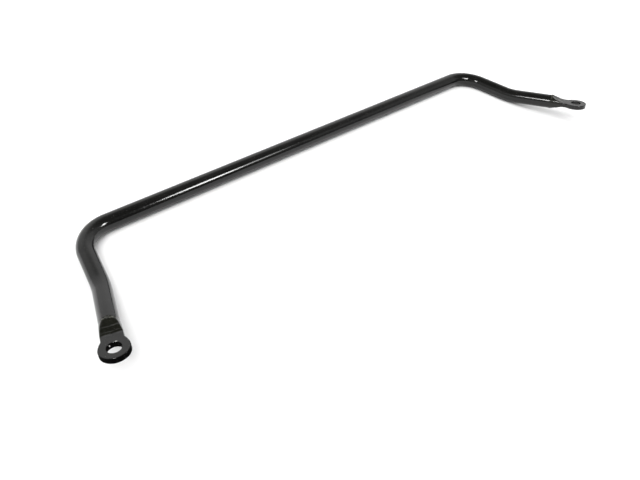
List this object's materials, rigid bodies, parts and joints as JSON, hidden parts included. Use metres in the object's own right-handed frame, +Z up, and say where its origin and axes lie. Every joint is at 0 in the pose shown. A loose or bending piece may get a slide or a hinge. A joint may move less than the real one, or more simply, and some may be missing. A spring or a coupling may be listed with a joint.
{
  "type": "sway bar",
  "caption": "Black tubular anti-roll bar: a long straight torsion section, a bend at each end, and short splayed arms with welded forged ends and flat eyes.",
  "frame": {"origin": "middle of the straight section's centre line, which is the axis that the bar twists about", "axes": "+X along the straight section to the right, +Z up as the bar lies on a flat surface, the arms reach towards -Y"},
  "size_m": [1.0248, 0.2521, 0.0456],
  "materials": {
    "tube_coat": "gloss black powder coat on drawn steel tube",
    "forging_coat": "gloss black powder coat over a forged steel surface",
    "weld_coat": "black powder coat over a rough weld bead"
  },
  "bodies": {
    "centre_section": {"centre_bar": "tube_coat"},
    "left_lever": {"left_arm": "tube_coat", "left_weld_bead": "weld_coat", "left_eye_end": "forging_coat"},
    "right_lever": {"right_arm": "tube_coat", "right_weld_bead": "weld_coat", "right_eye_end": "forging_coat"}
  },
  "joints": [
    {"name": "left_twist", "type": "hinge", "parent": "centre_section", "child": "left_lever", "pos_m": [-0.38214, 0, 0], "axis": [1, 0, 0], "range_deg": [-12, 12], "stiffness_Nm_per_rad": 6600},
    {"name": "right_twist", "type": "hinge", "parent": "centre_section", "child": "right_lever", "pos_m": [0.38214, 0, 0], "axis": [1, 0, 0], "range_deg": [-12, 12], "stiffness_Nm_per_rad": 6600}
  ],
  "couplings": [
    {"joint": "right_twist", "follows": "left_twist", "ratio": -1}
  ]
}
